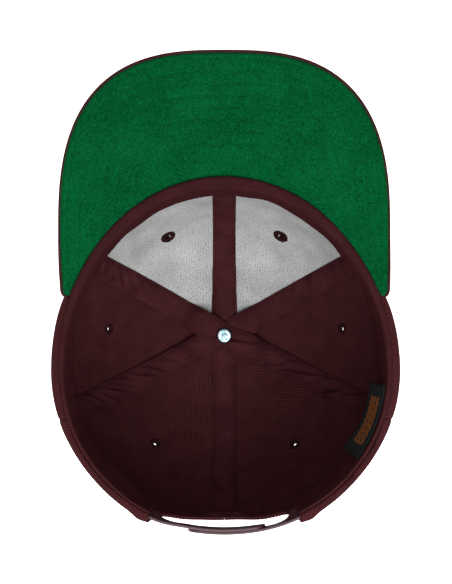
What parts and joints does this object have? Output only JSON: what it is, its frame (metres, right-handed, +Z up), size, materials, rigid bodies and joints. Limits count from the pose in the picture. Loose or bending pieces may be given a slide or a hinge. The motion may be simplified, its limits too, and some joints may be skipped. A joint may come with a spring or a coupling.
{
  "type": "snapback cap",
  "caption": "Structured panelled cloth cap with a flat visor, shown lying on its crown: open head hollow, sweatband, seam tapes, buckram, eyelets and an adjustable snap strap.",
  "frame": {"origin": "middle of the button's outer face, on the floor that the upside-down crown rests on", "axes": "+Z up, from the top of the crown to its open rim; +Y towards the visor, the wearer's front; +X towards the wearer's left"},
  "size_m": [0.1926, 0.2667, 0.127],
  "materials": {
    "cloth": "maroon woven cloth, matt",
    "tape": "maroon folded seam tape, matt",
    "buckram": "light grey stiff open weave",
    "underside": "green woolly cloth",
    "band": "dark maroon twill",
    "thread": "maroon embroidery thread",
    "plastic": "mauve moulded plastic",
    "metal": "bright rivet cap",
    "label": "near-black woven label"
  },
  "bodies": {
    "root": {"front_panel_left": "cloth", "eyelet_front_left": "thread", "side_panel_left": "cloth", "eyelet_side_left": "thread", "back_panel_left": "cloth", "eyelet_back_left": "thread", "buckram_left": "buckram", "front_panel_right": "cloth", "eyelet_front_right": "thread", "side_panel_right": "cloth", "eyelet_side_right": "thread", "back_panel_right": "cloth", "eyelet_back_right": "thread", "buckram_right": "buckram", "seam_tape_front_back": "tape", "seam_tape_left_front": "tape", "seam_tape_right_front": "tape", "arch_binding": "tape", "button": "cloth", "rivet": "metal", "sweatband": "band", "label": "label", "visor_cover": "cloth", "visor_underside": "underside", "strap_pegs": "plastic", "strap_holes": "plastic"}
  },
  "joints": []
}
